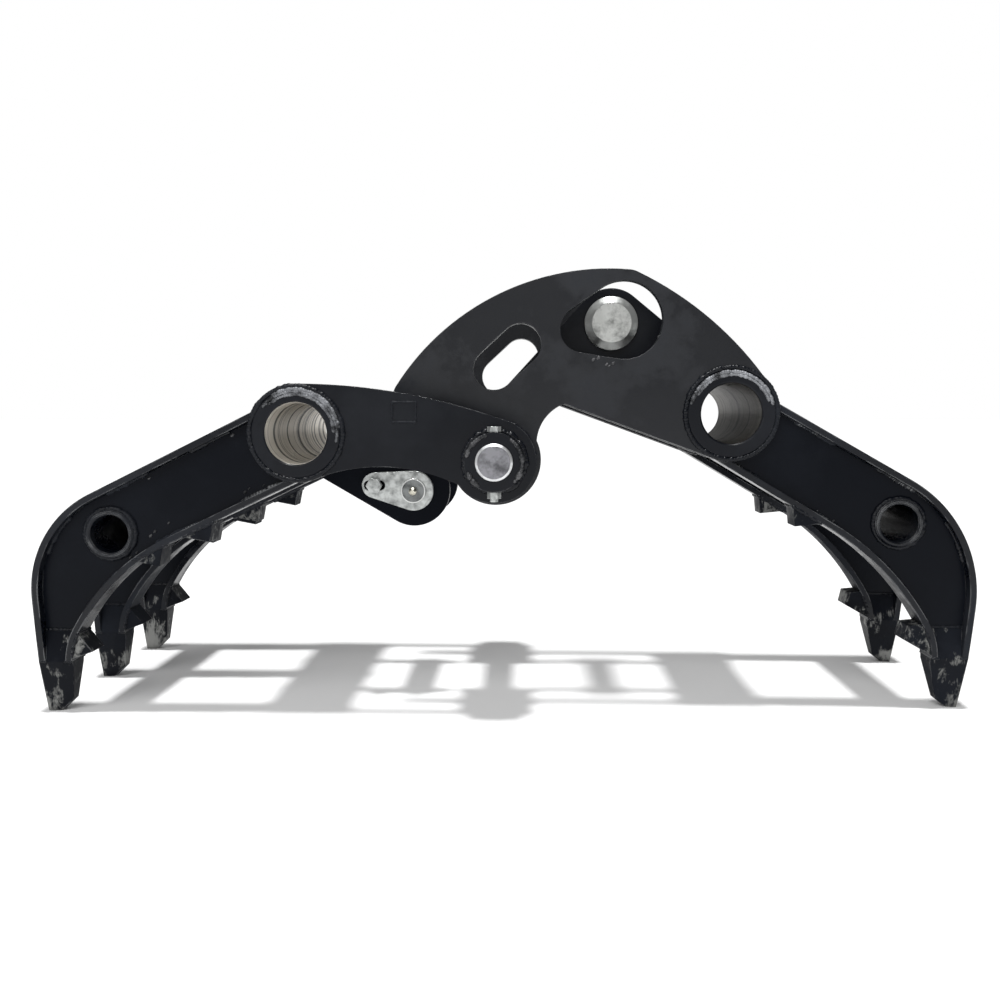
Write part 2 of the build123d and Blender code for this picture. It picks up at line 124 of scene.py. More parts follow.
def edge_wear_group():
    """Puts out a mask that is 1 on worn corners."""
    tree, start, end = new_group(
        "Edge wear",
        [("Radius", FLOAT, 0.003), ("Patchiness", FLOAT, 60.0), ("Amount", FLOAT, 0.5)],
        [("Mask", FLOAT)],
    )
    bevel = add_node(tree, "ShaderNodeBevel", samples=4)
    join(tree, start.outputs["Radius"], bevel.inputs["Radius"])
    geometry = add_node(tree, "ShaderNodeNewGeometry")
    dot = add_node(tree, "ShaderNodeVectorMath", operation="DOT_PRODUCT")
    join(tree, bevel.outputs["Normal"], dot.inputs[0])
    join(tree, geometry.outputs["Normal"], dot.inputs[1])
    edge = math_node(tree, "SUBTRACT", 1.0, dot.outputs["Value"], clamp=True)
    place = add_node(tree, "ShaderNodeTexCoord")
    noise = add_node(tree, "ShaderNodeTexNoise", Detail=5.0, Roughness=0.7)
    join(tree, place.outputs["Object"], noise.inputs["Vector"])
    join(tree, start.outputs["Patchiness"], noise.inputs["Scale"])
    gaps = add_node(tree, "ShaderNodeTexNoise", Scale=17.0, Detail=3.0, Roughness=0.6)
    join(tree, place.outputs["Object"], gaps.inputs["Vector"])
    runs = add_node(tree, "ShaderNodeMapRange", From_Min=0.44, From_Max=0.66)
    join(tree, gaps.outputs["Fac"], runs.inputs["Value"])
    speckle = math_node(tree, "MULTIPLY", noise.outputs["Fac"], SPECKLE_GAIN)
    broken = math_node(tree, "MULTIPLY", math_node(tree, "MULTIPLY", edge, speckle), runs.outputs["Result"])
    lifted = math_node(tree, "MULTIPLY", broken, start.outputs["Amount"])
    mask = math_node(tree, "SUBTRACT", lifted, WEAR_CUT, clamp=True)
    join(tree, mask, end.inputs["Mask"])
    return tree


EDGE_WEAR = edge_wear_group()
print("group:", EDGE_WEAR.name)

# %% [markdown]
# ## Paint skin
# Sprayed paint has a fine orange peel, slow swells where the plate was ground, and a thin film of
# dust. One group puts out a height for the bump, a dust mask and a gloss mask, so every painted
# material shares one look and still sets its own strengths.


# %% Group: paint skin
SWELL_SHARE, PEEL_SHARE = 3.0, 0.35


def paint_skin_group():
    """Puts out bump height, dust and gloss variation for sprayed paint."""
    tree, start, end = new_group(
        "Paint skin",
        [("Peel scale", FLOAT, 420.0), ("Swell scale", FLOAT, 9.0), ("Dust scale", FLOAT, 5.0)],
        [("Height", FLOAT), ("Dust", FLOAT), ("Gloss", FLOAT)],
    )
    place = add_node(tree, "ShaderNodeTexCoord")
    peel = add_node(tree, "ShaderNodeTexNoise", Detail=2.0, Roughness=0.5)
    swell = add_node(tree, "ShaderNodeTexNoise", Detail=3.0, Roughness=0.55)
    dust = add_node(tree, "ShaderNodeTexNoise", Detail=8.0, Roughness=0.68)
    for node, scale in ((peel, "Peel scale"), (swell, "Swell scale"), (dust, "Dust scale")):
        join(tree, place.outputs["Object"], node.inputs["Vector"])
        join(tree, start.outputs[scale], node.inputs["Scale"])
    slow = math_node(tree, "MULTIPLY", swell.outputs["Fac"], SWELL_SHARE)
    fine = math_node(tree, "MULTIPLY", peel.outputs["Fac"], PEEL_SHARE)
    height = math_node(tree, "ADD", fine, slow)
    join(tree, height, end.inputs["Height"])
    ramp = add_node(tree, "ShaderNodeMapRange", From_Min=0.48, From_Max=0.78)
    join(tree, dust.outputs["Fac"], ramp.inputs["Value"])
    join(tree, ramp.outputs["Result"], end.inputs["Dust"])
    join(tree, swell.outputs["Fac"], end.inputs["Gloss"])
    return tree


PAINT_SKIN = paint_skin_group()
print("group:", PAINT_SKIN.name)

# %% [markdown]
# ## Scrapes
# The tips rub on the ground and on logs. Their scrapes run along the tine, so we squeeze noise
# across one direction and keep only its thin peaks.


# %% Group: scrapes
COVER_LIFT = 0.36


def scrapes_group():
    """Puts out a mask of thin scrapes that run mainly up and down."""
    tree, start, end = new_group(
        "Scrapes",
        [("Scale", FLOAT, 90.0), ("Stretch", FLOAT, 0.12), ("Cover", FLOAT, 0.5)],
        [("Mask", FLOAT), ("Height", FLOAT)],
    )
    place = add_node(tree, "ShaderNodeTexCoord")
    squeeze = add_node(tree, "ShaderNodeCombineXYZ", X=1.0, Y=1.0)
    join(tree, start.outputs["Stretch"], squeeze.inputs["Z"])
    stretched = add_node(tree, "ShaderNodeVectorMath", operation="MULTIPLY")
    join(tree, place.outputs["Object"], stretched.inputs[0])
    join(tree, squeeze.outputs["Vector"], stretched.inputs[1])
    lines = add_node(tree, "ShaderNodeTexNoise", Detail=6.0, Roughness=0.75, Distortion=0.6)
    join(tree, stretched.outputs["Vector"], lines.inputs["Vector"])
    join(tree, start.outputs["Scale"], lines.inputs["Scale"])
    patches = add_node(tree, "ShaderNodeTexNoise", Scale=22.0, Detail=4.0, Roughness=0.6)
    join(tree, place.outputs["Object"], patches.inputs["Vector"])
    both = math_node(tree, "MULTIPLY", lines.outputs["Fac"], patches.outputs["Fac"])
    lift = math_node(tree, "MULTIPLY", start.outputs["Cover"], COVER_LIFT)
    raised = math_node(tree, "ADD", both, lift)
    ramp = add_node(tree, "ShaderNodeMapRange", From_Min=0.455, From_Max=0.53)
    join(tree, raised, ramp.inputs["Value"])
    join(tree, ramp.outputs["Result"], end.inputs["Mask"])
    join(tree, lines.outputs["Fac"], end.inputs["Height"])
    return tree


SCRAPES = scrapes_group()
print("group:", SCRAPES.name)

# %% [markdown]
# ## Distance from an axis
# Turned pins carry rings, and a cross tube is painted outside but bare inside. Both depend only on
# how far a point is from a line along Y, so one group measures that distance.


# %% Group: distance from an axis along Y
def axis_distance_group():
    """Puts out the distance from a line along Y through the point (X, Z)."""
    tree, start, end = new_group(
        "Axis distance", [("X", FLOAT, 0.0), ("Z", FLOAT, 0.0)], [("Distance", FLOAT), ("Along", FLOAT)]
    )
    place = add_node(tree, "ShaderNodeTexCoord")
    split = add_node(tree, "ShaderNodeSeparateXYZ")
    join(tree, place.outputs["Object"], split.inputs["Vector"])
    across = math_node(tree, "SUBTRACT", split.outputs["X"], start.outputs["X"])
    upward = math_node(tree, "SUBTRACT", split.outputs["Z"], start.outputs["Z"])
    squares = math_node(
        tree, "ADD", math_node(tree, "POWER", across, 2.0), math_node(tree, "POWER", upward, 2.0)
    )
    join(tree, math_node(tree, "SQRT", squares), end.inputs["Distance"])
    join(tree, split.outputs["Y"], end.inputs["Along"])
    return tree


AXIS_DISTANCE = axis_distance_group()
print("group:", AXIS_DISTANCE.name)

# %% [markdown]
# ## Black paint
# The plates are sprayed gloss black over rolled steel. It reads as black because almost all the
# light that comes back is a reflection, so the roughness does the work and the colour stays dark.

# %% Values for the black paint
PAINT_BLACK = (0.0022, 0.0031, 0.0056, 1.0)
PAINT_DUST = (0.018, 0.021, 0.028, 1.0)
BARE_EDGE = (0.17, 0.175, 0.18, 1.0)
PAINT_SPECULAR = 0.21
EDGE_ROUND = 0.0014
SHEEN_SPREAD = 0.22
PEEL_STRENGTH, PEEL_DEPTH = 0.28, 0.0006
print("paint:", PAINT_BLACK[:3], "dust:", PAINT_DUST[:3], "bare edge:", BARE_EDGE[:3])


# %% Black paint material
def rounded_normal(tree, height, strength, distance, radius=EDGE_ROUND):
    """A bump over a softly rounded edge; returns its normal."""
    bevel = add_node(tree, "ShaderNodeBevel", samples=4, Radius=radius)
    bump = add_node(tree, "ShaderNodeBump", Strength=strength, Distance=distance)
    join(tree, height, bump.inputs["Height"])
    join(tree, bevel.outputs["Normal"], bump.inputs["Normal"])
    return bump.outputs["Normal"]


def mix_colour(tree, mask, first, second):
    """Mixes two colours, given as sockets or values, by a mask; returns the colour."""
    mix = add_node(tree, "ShaderNodeMix", data_type="RGBA")
    join(tree, mask, mix.inputs["Factor"])
    for socket, value in ((mix.inputs[6], first), (mix.inputs[7], second)):
        if isinstance(value, tuple):
            socket.default_value = value
        else:
            join(tree, value, socket)
    return mix.outputs[2]


def new_material(name):
    """A node material with its Principled shader; returns the material, tree and shader."""
    material = bpy.data.materials.new(name)
    material.use_nodes = True
    tree = material.node_tree
    return material, tree, tree.nodes["Principled BSDF"]


def paint_parts(tree, wear=0.5, dust=0.5, rough=0.30):
    """Colour, roughness and normal of the black paint, for use in several materials."""
    skin = use_group(tree, PAINT_SKIN)
    edge = use_group(tree, EDGE_WEAR, Amount=wear)
    film = math_node(tree, "MULTIPLY", skin.outputs["Dust"], dust, clamp=True)
    dusty = mix_colour(tree, film, PAINT_BLACK, PAINT_DUST)
    colour = mix_colour(tree, edge.outputs["Mask"], dusty, BARE_EDGE)
    sheen = math_node(tree, "MULTIPLY", skin.outputs["Gloss"], SHEEN_SPREAD)
    roughness = math_node(tree, "ADD", math_node(tree, "ADD", sheen, rough), film, clamp=True)
    normal = rounded_normal(tree, skin.outputs["Height"], PEEL_STRENGTH, PEEL_DEPTH)
    return colour, roughness, normal


def black_paint(name, wear=0.5, dust=0.5, rough=0.30, specular=PAINT_SPECULAR):
    """Sprayed gloss black with worn edges."""
    material, tree, shader = new_material(name)
    colour, roughness, normal = paint_parts(tree, wear, dust, rough)
    join(tree, colour, shader.inputs["Base Color"])
    join(tree, roughness, shader.inputs["Roughness"])
    join(tree, normal, shader.inputs["Normal"])
    shader.inputs["Specular IOR Level"].default_value = specular
    return material


PLATE_PAINT = black_paint("Black plate paint", wear=0.42, dust=0.35, rough=0.20)
SIDE_PAINT = black_paint("Black side plate paint", wear=0.42, dust=0.9, rough=0.24, specular=0.42)
TINE_PAINT = black_paint("Black tine paint", wear=0.50, dust=0.30, rough=0.22, specular=0.09)
EAR_PAINT = black_paint("Black ear paint", wear=0.40, dust=0.15, rough=0.26, specular=0.05)
# The straps get far more edge wear than the plates: their pale edges are partly real wear and partly a
# painted highlight along the strap edges.
STRAP_PAINT_WITH_EDGE_HIGHLIGHT = black_paint("Black strap paint", wear=1.50, dust=1.10, rough=0.16, specular=0.26)
# The spacer tubes get the most edge wear and dust of all: their pale rims are partly real wear and dust and
# partly a painted highlight.
SPACER_PAINT_WITH_HIGHLIGHT = black_paint("Spacer tube paint", wear=2.40, dust=1.60, rough=0.10, specular=0.30)
WELD_PAINT = black_paint("Painted weld", wear=0.30, dust=0.80, rough=0.16)
PAINTS = (PLATE_PAINT, SIDE_PAINT, TINE_PAINT, EAR_PAINT, STRAP_PAINT_WITH_EDGE_HIGHLIGHT, SPACER_PAINT_WITH_HIGHLIGHT, WELD_PAINT)
print("paints:", [paint.name for paint in PAINTS])

# %% [markdown]
# ## Worn tips and teeth
# Here the paint is half gone. The scrapes mask mixes black paint with dull, pale steel, and the
# metal value follows the same mask, so the scraped places shine and the painted ones don't.


# %% Worn paint material
SCRAPED_STEEL = (0.19, 0.192, 0.185, 1.0)
WORN_SPECULAR = 0.10
SCRAPE_TOP = 0.115
SCRAPED_METAL = 0.45


def worn_paint(name, cover, low_cover, stretch=0.12):
    """Black paint with bright scrapes down to the steel, and more of them near the ground."""
    material, tree, shader = new_material(name)
    colour, roughness, normal = paint_parts(tree, wear=0.9, dust=0.9, rough=0.30)
    place = add_node(tree, "ShaderNodeTexCoord")
    split = add_node(tree, "ShaderNodeSeparateXYZ")
    join(tree, place.outputs["Object"], split.inputs["Vector"])
    rise = add_node(tree, "ShaderNodeMapRange", From_Min=0.0, From_Max=SCRAPE_TOP)
    rise.inputs["To Min"].default_value = low_cover
    rise.inputs["To Max"].default_value = cover
    join(tree, split.outputs["Z"], rise.inputs["Value"])
    scrapes = use_group(tree, SCRAPES, Stretch=stretch)
    join(tree, rise.outputs["Result"], scrapes.inputs["Cover"])
    scraped = mix_colour(tree, scrapes.outputs["Mask"], colour, SCRAPED_STEEL)
    join(tree, scraped, shader.inputs["Base Color"])
    join(tree, roughness, shader.inputs["Roughness"])
    shader.inputs["Specular IOR Level"].default_value = WORN_SPECULAR
    metal = math_node(tree, "MULTIPLY", scrapes.outputs["Mask"], SCRAPED_METAL)
    join(tree, metal, shader.inputs["Metallic"])
    bump = add_node(tree, "ShaderNodeBump", Strength=0.35, Distance=0.0009)
    join(tree, scrapes.outputs["Height"], bump.inputs["Height"])
    join(tree, normal, bump.inputs["Normal"])
    join(tree, bump.outputs["Normal"], shader.inputs["Normal"])
    return material


TIP_PAINT = worn_paint("Scraped tip", cover=0.16, low_cover=0.74, stretch=0.30)
TOOTH_PAINT = worn_paint("Scraped tooth", cover=0.48, low_cover=0.60, stretch=0.7)
print("worn paints ready")

# %% [markdown]
# ## Turned steel
# The pin ends were faced on a lathe. Fine rings around the pin's own axis scatter the light, so the
# rings are a wave of the distance from that axis, used as bump. Stains make it darker and duller.


# %% Turned steel material
def axis_of(node):
    """The (x, z) middle of a round CAD node that runs along Y."""
    low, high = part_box(node)
    return (low.x + high.x) / 2, (low.z + high.z) / 2


RING_STRENGTH, RING_DEPTH, RING_ROUND = 0.10, 0.0003, 0.0010
STAIN_SHADE, STAIN_ROUGH = 0.40, 0.30


def turned_steel(name, centre, flat_radius, colour, rim_painted_light, rough=0.32, pitch=0.0011):
    """Lathe-turned steel: a stained flat face with rings, and round it a chamfer in a colour of its own
    that paints the light on it.
    """
    material, tree, shader = new_material(name)
    radial = use_group(tree, AXIS_DISTANCE, X=centre[0], Z=centre[1])
    turns = math_node(tree, "MULTIPLY", radial.outputs["Distance"], 2 * math.pi / pitch)
    rings = math_node(tree, "SINE", turns)
    place = add_node(tree, "ShaderNodeTexCoord")
    stain = add_node(tree, "ShaderNodeTexNoise", Scale=70.0, Detail=6.0, Roughness=0.65)
    join(tree, place.outputs["Object"], stain.inputs["Vector"])
    ramp = add_node(tree, "ShaderNodeMapRange", From_Min=0.44, From_Max=0.68)
    join(tree, stain.outputs["Fac"], ramp.inputs["Value"])
    dull = tuple(STAIN_SHADE * c for c in colour[:3]) + (1.0,)
    stained = mix_colour(tree, ramp.outputs["Result"], colour, dull)
    rim = math_node(tree, "GREATER_THAN", radial.outputs["Distance"], flat_radius)
    join(tree, mix_colour(tree, rim, stained, rim_painted_light), shader.inputs["Base Color"])
    spread = math_node(tree, "MULTIPLY", ramp.outputs["Result"], STAIN_ROUGH)
    join(tree, math_node(tree, "ADD", spread, rough), shader.inputs["Roughness"])
    shader.inputs["Metallic"].default_value = 1.0
    normal = rounded_normal(tree, rings, RING_STRENGTH, RING_DEPTH, RING_ROUND)
    join(tree, normal, shader.inputs["Normal"])
    return material


# The chamfer colours are painted light on the same turned steel: a painted highlight on the hinge and
# stiff-arm pins, painted shade on the link pin.
PIN_GREY, PIN_RIM_HIGHLIGHT = (0.28, 0.28, 0.30, 1.0), (0.82, 0.83, 0.84, 1.0)
LINK_GREY, LINK_RIM_SHADE = (0.60, 0.61, 0.59, 1.0), (0.42, 0.43, 0.42, 1.0)
STIFF_GREY, STIFF_RIM_HIGHLIGHT = (0.22, 0.23, 0.23, 1.0), (0.70, 0.71, 0.70, 1.0)
PIN_FLAT, LINK_FLAT, STIFF_FLAT = 0.0197, 0.0248, 0.0146
PIN_STEEL = turned_steel("Turned hinge pin", axis_of("hinge_pin"), PIN_FLAT, PIN_GREY, PIN_RIM_HIGHLIGHT)
LINK_STEEL = turned_steel("Turned link pin", axis_of("link_pin"), LINK_FLAT, LINK_GREY, LINK_RIM_SHADE)
STIFF_STEEL = turned_steel(
    "Turned stiff-arm pin", axis_of("grease_nipple"), STIFF_FLAT, STIFF_GREY, STIFF_RIM_HIGHLIGHT
)
print("hinge pin axis:", [round(v, 4) for v in axis_of("hinge_pin")])

# %% [markdown]
# ## Zinc and bronze
# The flag and the bolts are zinc plated, which looks like pale, slightly blotchy metal. The
# bushings and washers are bronze. One function makes both, because only the values differ.


# %% Plated metal material
BLOTCH_ROUGH = 0.16
BLOTCH_STRENGTH, BLOTCH_DEPTH, BLOTCH_ROUND = 0.12, 0.0004, 0.0012


def plated_metal(name, colour, blotch, rough, metallic=1.0):
    """Soft metal with blotches."""
    material, tree, shader = new_material(name)
    place = add_node(tree, "ShaderNodeTexCoord")
    cells = add_node(tree, "ShaderNodeTexNoise", Scale=95.0, Detail=5.0, Roughness=0.6)
    join(tree, place.outputs["Object"], cells.inputs["Vector"])
    ramp = add_node(tree, "ShaderNodeMapRange", From_Min=0.38, From_Max=0.66)
    join(tree, cells.outputs["Fac"], ramp.inputs["Value"])
    join(tree, mix_colour(tree, ramp.outputs["Result"], colour, blotch), shader.inputs["Base Color"])
    spread = math_node(tree, "MULTIPLY", ramp.outputs["Result"], BLOTCH_ROUGH)
    join(tree, math_node(tree, "ADD", spread, rough), shader.inputs["Roughness"])
    shader.inputs["Metallic"].default_value = metallic
    fac = cells.outputs["Fac"]
    normal = rounded_normal(tree, fac, BLOTCH_STRENGTH, BLOTCH_DEPTH, BLOTCH_ROUND)
    join(tree, normal, shader.inputs["Normal"])
    return material


ZINC = plated_metal("Zinc plate", (0.58, 0.60, 0.59, 1.0), (0.24, 0.25, 0.245, 1.0), 0.30, metallic=0.6)
NIPPLE_METAL = plated_metal("Nipple plate", (0.66, 0.64, 0.55, 1.0), (0.5, 0.48, 0.40, 1.0), 0.26)
BRONZE = plated_metal("Oiled bronze", (0.40, 0.29, 0.16, 1.0), (0.27, 0.19, 0.11, 1.0), 0.30)
print("plated metals ready")

# %% [markdown]
# ## Cross tubes, painted outside and bored inside
# The tube is one piece with two finishes. The distance from its axis tells them apart: up to the
# wall of the bore it is bare, machined steel with tool rings along Y; further out it is black paint.


# %% Bored tube material
BORE_MARGIN, BORE_METAL, BORE_ROUGH = 0.0004, 0.65, 0.42
FEED_WAVE, FEED_WANDER = 4200.0, 6.0


def bored_tube(name, node, bore_radius, bare, shade):
    """Black paint outside, machined and slightly rusty steel in the bore, drawn in the colours passed in,
    which paint in how lit or shaded that bore is.
    """
    material, tree, shader = new_material(name)
    centre = axis_of(node)
    colour, roughness, normal = paint_parts(tree, wear=0.35, dust=0.5, rough=0.22)
    radial = use_group(tree, AXIS_DISTANCE, X=centre[0], Z=centre[1])
    inside = add_node(tree, "ShaderNodeMath", operation="LESS_THAN")
    inside.inputs[1].default_value = bore_radius + BORE_MARGIN
    join(tree, radial.outputs["Distance"], inside.inputs[0])
    along = add_node(tree, "ShaderNodeCombineXYZ")
    join(tree, radial.outputs["Along"], along.inputs["Y"])
    bands = add_node(tree, "ShaderNodeTexNoise", Scale=52.0, Detail=4.0, Roughness=0.7)
    join(tree, along.outputs["Vector"], bands.inputs["Vector"])
    dark = add_node(tree, "ShaderNodeMapRange", From_Min=0.50, From_Max=0.57)
    join(tree, bands.outputs["Fac"], dark.inputs["Value"])
    metal_colour = mix_colour(tree, dark.outputs["Result"], bare, shade)
    join(tree, mix_colour(tree, inside.outputs[0], colour, metal_colour), shader.inputs["Base Color"])
    join(tree, math_node(tree, "MULTIPLY", inside.outputs[0], BORE_METAL), shader.inputs["Metallic"])
    rough_mix = add_node(tree, "ShaderNodeMix")
    join(tree, inside.outputs[0], rough_mix.inputs["Factor"])
    join(tree, roughness, rough_mix.inputs[2])
    rough_mix.inputs[3].default_value = BORE_ROUGH
    join(tree, rough_mix.outputs[0], shader.inputs["Roughness"])
    feed = math_node(tree, "SINE", math_node(tree, "MULTIPLY", radial.outputs["Along"], FEED_WAVE))
    wander = math_node(tree, "MULTIPLY", bands.outputs["Fac"], FEED_WANDER)
    rings = math_node(tree, "ADD", feed, wander)
    bump = add_node(tree, "ShaderNodeBump", Strength=0.25, Distance=0.0005)
    join(tree, math_node(tree, "MULTIPLY", rings, inside.outputs[0]), bump.inputs["Height"])
    join(tree, normal, bump.inputs["Normal"])
    join(tree, bump.outputs["Normal"], shader.inputs["Normal"])
    shader.inputs["Specular IOR Level"].default_value = TUBE_SPECULAR
    return material


def bore_radius_of(mount):
    """The radius of a bore mount in the record, in metres."""
    for entry in RECORD["mounts"]:
        if entry["name"] == mount:
            return entry["dims"]["r_mm"] / 1000
    raise ValueError(mount)


TUBE_SPECULAR = 0.22
# The two bores are the same machined steel in two brightnesses: the fixed tube's light bore colour is
# painted light, and the moving tube's near-black bore colour is painted shade for a bore that lies in
# shadow.
LIT_BORE, LIT_BORE_RINGS = (0.80, 0.76, 0.69, 1.0), (0.03, 0.028, 0.026, 1.0)
SHADED_BORE, SHADED_BORE_RINGS = (0.09, 0.084, 0.074, 1.0), (0.012, 0.011, 0.010, 1.0)
fixed_bore, moving_bore = bore_radius_of("fixed_tube_bore"), bore_radius_of("moving_tube_bore")
FIXED_TUBE = bored_tube("Fixed cross tube", "fixed_cross_tube", fixed_bore, LIT_BORE, LIT_BORE_RINGS)
MOVING_TUBE = bored_tube("Moving cross tube", "moving_cross_tube", moving_bore, SHADED_BORE, SHADED_BORE_RINGS)
print("bore radii:", fixed_bore, moving_bore)

# %% [markdown]
# ## Give every CAD node its finish
# The node names say what each piece is, so a short list of name beginnings is enough. The first
# match wins, and the rest is plate paint.

# %% Finishes by name
FINISHES = (
    (("fixed_cross_tube",), FIXED_TUBE),
    (("moving_cross_tube",), MOVING_TUBE),
    (("fixed_tip", "moving_tip"), TIP_PAINT),
    (("fixed_lower_teeth", "moving_lower_teeth"), TOOTH_PAINT),
    (("fixed_upper_teeth", "moving_upper_teeth"), TOOTH_PAINT),
    (("fixed_tine", "moving_tine"), TINE_PAINT),
    (("fixed_spacer", "moving_spacer"), SPACER_PAINT_WITH_HIGHLIGHT),
    (("side_plate",), SIDE_PAINT),
    (("stiff_arm_ear",), EAR_PAINT),
    (("fixed_back", "moving_back", "fixed_mouth", "moving_mouth"), STRAP_PAINT_WITH_EDGE_HIGHLIGHT),
    (("hinge_pin",), PIN_STEEL),
    (("link_pin",), LINK_STEEL),
    (("stiff_arm_pin",), STIFF_STEEL),
    (("grease_nipple",), NIPPLE_METAL),
    (("hinge_bushing", "thrust_washer"), BRONZE),
    (("pin_flag", "keeper_bolt", "collar_cross_bolts", "collar_nuts"), ZINC),
)
for label, piece in NODES.items():
    finish = next((paint for starts, paint in FINISHES if label.startswith(starts)), PLATE_PAINT)
    piece.data.materials.clear()
    piece.data.materials.append(finish)
print("finished nodes:", len(NODES))

# %% [markdown]
# ## Weld beads with Geometry Nodes
# A hand-laid bead is a row of overlapping puddles. The tree below takes a curve, sets points along
# it at the ripple spacing, puts a flat little ball on each point and turns it into the direction of
# travel. A seeded random size keeps the bead from looking machine made. At the end the instances
# become one real mesh with the paint on it.


# %% The bead tree
PUDDLE_REACH = 0.95


def weld_tree():
    """Geometry Nodes: a curve becomes a rippled weld bead."""
    tree = bpy.data.node_groups.new("Weld bead", "GeometryNodeTree")
    face = tree.interface
    face.new_socket(name="Geometry", in_out="INPUT", socket_type="NodeSocketGeometry")
    for label, value in (("Width", 0.004), ("Height", 0.003), ("Spacing", 0.004), ("Wobble", 0.2)):
        socket = face.new_socket(name=label, in_out="INPUT", socket_type=FLOAT)
        socket.default_value = value
    face.new_socket(name="Seed", in_out="INPUT", socket_type="NodeSocketInt")
    face.new_socket(name="Material", in_out="INPUT", socket_type="NodeSocketMaterial")
    face.new_socket(name="Geometry", in_out="OUTPUT", socket_type="NodeSocketGeometry")
    start = tree.nodes.new("NodeGroupInput")
    end = tree.nodes.new("NodeGroupOutput")
    points = add_node(tree, "GeometryNodeResampleCurve", mode="LENGTH")
    ball = add_node(tree, "GeometryNodeMeshUVSphere", Segments=10, Rings=6, Radius=1.0)
    tangent = add_node(tree, "GeometryNodeInputTangent")
    turn = add_node(tree, "FunctionNodeAlignRotationToVector", axis="Z")
    size = add_node(tree, "ShaderNodeCombineXYZ")
    reach = add_node(tree, "ShaderNodeMath", operation="MULTIPLY")
    reach.inputs[1].default_value = PUDDLE_REACH
    wobble = add_node(tree, "FunctionNodeRandomValue", data_type="FLOAT")
    least = add_node(tree, "ShaderNodeMath", operation="SUBTRACT")
    least.inputs[0].default_value = 1.0
    most = add_node(tree, "ShaderNodeMath", operation="ADD")
    most.inputs[0].default_value = 1.0
    scale = add_node(tree, "ShaderNodeVectorMath", operation="SCALE")
    place = add_node(tree, "GeometryNodeInstanceOnPoints")
    realize = add_node(tree, "GeometryNodeRealizeInstances")
    smooth = add_node(tree, "GeometryNodeSetShadeSmooth")
    finish = add_node(tree, "GeometryNodeSetMaterial")
    join(tree, start.outputs["Geometry"], points.inputs["Curve"])
    join(tree, start.outputs["Spacing"], points.inputs["Length"])
    join(tree, points.outputs["Curve"], place.inputs["Points"])
    join(tree, ball.outputs["Mesh"], place.inputs["Instance"])
    join(tree, tangent.outputs["Tangent"], turn.inputs["Vector"])
    join(tree, turn.outputs["Rotation"], place.inputs["Rotation"])
    join(tree, start.outputs["Width"], size.inputs["X"])
    join(tree, start.outputs["Height"], size.inputs["Y"])
    join(tree, start.outputs["Spacing"], reach.inputs[0])
    join(tree, reach.outputs[0], size.inputs["Z"])
    join(tree, start.outputs["Wobble"], least.inputs[1])
    join(tree, start.outputs["Wobble"], most.inputs[1])
    join(tree, least.outputs[0], wobble.inputs[2])
    join(tree, most.outputs[0], wobble.inputs[3])
    join(tree, start.outputs["Seed"], wobble.inputs["Seed"])
    join(tree, size.outputs["Vector"], scale.inputs[0])
    join(tree, wobble.outputs[1], scale.inputs["Scale"])
    join(tree, scale.outputs["Vector"], place.inputs["Scale"])
    join(tree, place.outputs["Instances"], realize.inputs["Geometry"])
    join(tree, realize.outputs["Geometry"], smooth.inputs["Geometry"])
    join(tree, smooth.outputs["Geometry"], finish.inputs["Geometry"])
    join(tree, start.outputs["Material"], finish.inputs["Material"])
    join(tree, finish.outputs["Geometry"], end.inputs["Geometry"])
    return tree


WELD_TREE = weld_tree()
print("tree:", WELD_TREE.name)


# %% From paths to one bead mesh
def set_input(modifier, label, value):
    """Sets a modifier's input by the identifier of the socket with this name."""
    for item in modifier.node_group.interface.items_tree:
        if item.in_out == "INPUT" and item.name == label:
            modifier[item.identifier] = value
            return
    raise ValueError(label)


def lay_beads(name, body, paths, width, height, spacing, seed, wobble=0.2, material=WELD_PAINT):
    """Lays a bead along each path, a list of points, and keeps the result as one plain mesh."""
    curve = bpy.data.curves.new(name + "_path", "CURVE")
    curve.dimensions = "3D"
    for path in paths:
        spline = curve.splines.new("POLY")
        spline.points.add(len(path) - 1)
        for point, place in zip(spline.points, path):
            point.co = (*place, 1.0)
    guide = bpy.data.objects.new(name + "_guide", curve)
    bpy.context.scene.collection.objects.link(guide)
    modifier = guide.modifiers.new("Weld bead", "NODES")
    modifier.node_group = WELD_TREE
    values = {"Width": width, "Height": height, "Spacing": spacing, "Wobble": wobble}
    for label, value in values.items():
        set_input(modifier, label, value)
    set_input(modifier, "Seed", seed)
    set_input(modifier, "Material", material)
    bpy.context.view_layer.update()
    depsgraph = bpy.context.evaluated_depsgraph_get()
    mesh = bpy.data.meshes.new_from_object(guide.evaluated_get(depsgraph), depsgraph=depsgraph)
    guide.modifiers.remove(modifier)
    bpy.data.objects.remove(guide)
    bead = bpy.data.objects.new(name, mesh)
    bpy.context.scene.collection.objects.link(bead)
    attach(bead, body)
    print(name, "paths:", len(paths), "faces:", len(mesh.polygons))


# %% [markdown]
# ## Where the beads go: round the tubes
# Each tube is welded to every plate that it passes through. We read the tube's middle and radius
# from the frame, and lay one ring at each plate face.


# %% Ring paths
def ring(centre, radius, y, first=0.0, last=360.0, steps=72):
    """Points on a circle round an axis along Y, from one angle to another."""
    points = []
    for step in range(steps + 1):
        angle = math.radians(first + (last - first) * step / steps)
        points.append((centre[0] + radius * math.cos(angle), y, centre[1] + radius * math.sin(angle)))
    return points


def radius_of(node):
    """Outer radius of a round node that runs along Y."""
    low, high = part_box(node)
    return (high.x - low.x) / 2


def faces_of(node):
    """The two Y planes of a plate."""
    low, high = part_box(node)
    return low.y, high.y


def both_sides(node_front, outer=True):
    """The outer or inner Y plane of a front plate, and its mirror behind."""
    low, high = faces_of(node_front)
    y = low if outer else high
    return y, -y


